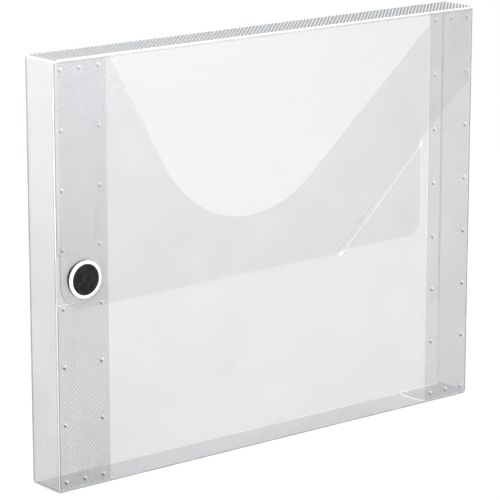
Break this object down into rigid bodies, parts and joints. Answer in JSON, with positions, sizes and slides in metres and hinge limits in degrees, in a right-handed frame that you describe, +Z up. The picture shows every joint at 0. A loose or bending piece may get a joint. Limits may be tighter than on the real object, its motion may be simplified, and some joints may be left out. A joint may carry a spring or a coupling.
{
  "type": "file case",
  "caption": "Slim upright carrying case of translucent plastic sheet, with a hinged top, a front flap closed by a press snap and a tongue in a slanted slot.",
  "frame": {"origin": "centre of the flat underside that the closed case stands on", "axes": "+X along the front from the snap end to the other end, +Y from the front to the back, +Z up"},
  "size_m": [0.318, 0.0304, 0.25],
  "materials": {
    "clear_sheet": "translucent polypropylene sheet, fine satin",
    "ribbed_sheet": "translucent polypropylene sheet with a fine slanted line emboss",
    "pressed_fold": "pressed fold line, whitened and shiny",
    "weld": "small glossy weld spot",
    "snap_black": "moulded black plastic, satin",
    "snap_white": "moulded white plastic, smooth"
  },
  "bodies": {
    "tray": {"back_bottom_fold": "pressed_fold", "back_panel": "clear_sheet", "bottom_panel": "clear_sheet", "front_bottom_fold": "pressed_fold", "front_panel": "clear_sheet", "left_back_fold": "pressed_fold", "left_bottom_tab": "clear_sheet", "left_end_panel": "ribbed_sheet", "left_front_fold": "pressed_fold", "left_front_strip": "ribbed_sheet", "left_tab_fold": "pressed_fold", "left_weld_spots": "weld", "right_back_fold": "pressed_fold", "right_bottom_tab": "clear_sheet", "right_end_panel": "ribbed_sheet", "right_front_fold": "pressed_fold", "right_front_strip": "ribbed_sheet", "right_tab_fold": "pressed_fold", "right_weld_spots": "weld", "snap_back_plate": "snap_black", "snap_socket": "snap_black"},
    "lid": {"top_panel": "ribbed_sheet", "lid_hinge_fold": "pressed_fold"},
    "flap": {"front_flap": "clear_sheet", "flap_tongue": "clear_sheet", "flap_hinge_fold": "pressed_fold", "snap_cap": "snap_black", "snap_ring": "snap_white", "snap_stud": "snap_black"}
  },
  "joints": [
    {"name": "lid_hinge", "type": "hinge", "parent": "tray", "child": "lid", "pos_m": [0, 0.0131, 0.2491], "axis": [-1, 0, 0], "range_deg": [0, 180], "deforming": ["lid_hinge_fold"]},
    {"name": "flap_hinge", "type": "hinge", "parent": "lid", "child": "flap", "pos_m": [0, -0.0131, 0.2491], "axis": [-1, 0, 0], "range_deg": [0, 180], "deforming": ["flap_hinge_fold", "flap_tongue"]}
  ]
}
